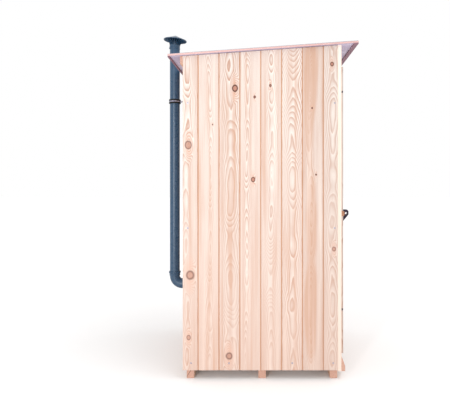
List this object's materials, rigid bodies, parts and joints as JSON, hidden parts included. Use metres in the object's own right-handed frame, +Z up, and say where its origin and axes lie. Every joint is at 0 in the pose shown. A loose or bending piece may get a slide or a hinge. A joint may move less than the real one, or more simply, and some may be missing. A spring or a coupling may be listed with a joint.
{
  "type": "wooden outhouse",
  "caption": "Small boarded wooden outhouse on skids, with a lean-to roof, a hinged ledged door and a plastic vent pipe up its rear wall.",
  "frame": {"origin": "on the ground, under the middle skid, at the middle of the cabin's footprint", "axes": "the door faces -Y, left is -X as seen from in front of the door, +Z is up"},
  "size_m": [1.05, 1.3875, 2.4166],
  "materials": {
    "pine_board": "planed, unpainted pine boards",
    "frame_timber": "sawn pine timber",
    "roof_film_ply": "plywood with a brown phenolic film",
    "vent_pvc": "slate grey extruded plastic, satin",
    "zinc_steel": "zinc-plated steel",
    "black_iron": "black painted iron, satin"
  },
  "bodies": {
    "cabin": {"skid_rear": "frame_timber", "skid_middle": "frame_timber", "skid_front": "frame_timber", "floor_boards": "frame_timber", "sole_plate_left": "frame_timber", "sole_plate_right": "frame_timber", "sole_plate_rear": "frame_timber", "door_sill": "frame_timber", "post_front_left": "frame_timber", "post_front_right": "frame_timber", "post_rear_left": "frame_timber", "post_rear_right": "frame_timber", "mid_rail_left": "frame_timber", "mid_rail_right": "frame_timber", "mid_rail_rear": "frame_timber", "top_rail_left": "frame_timber", "top_rail_right": "frame_timber", "top_rail_front": "frame_timber", "top_rail_rear": "frame_timber", "roof_bearer": "frame_timber", "left_wall": "pine_board", "right_wall": "pine_board", "rear_wall": "pine_board", "front_wall_left": "pine_board", "front_wall_right": "pine_board", "front_wall_top": "pine_board", "front_wall_foot": "pine_board", "weather_board": "pine_board", "rear_batten": "frame_timber", "roof_panel": "roof_film_ply", "roof_strip_front": "roof_film_ply", "roof_strip_rear": "roof_film_ply", "vent_pipe": "vent_pvc", "vent_elbow": "vent_pvc", "vent_cowl": "vent_pvc", "wall_collar": "vent_pvc", "pipe_clamp": "zinc_steel", "clamp_stud": "zinc_steel", "hinge_bracket_top": "black_iron", "hinge_bracket_bottom": "black_iron"},
    "door": {"door_leaf": "pine_board", "door_ledge_top": "frame_timber", "door_ledge_bottom": "frame_timber", "door_brace": "frame_timber", "hinge_strap_top": "black_iron", "hinge_strap_bottom": "black_iron", "door_handle": "black_iron"}
  },
  "joints": [
    {"name": "door_hinge", "type": "hinge", "parent": "cabin", "child": "door", "pos_m": [0.438, -0.55705, 1.1], "axis": [0, 0, 1], "range_deg": [0, 110]}
  ]
}
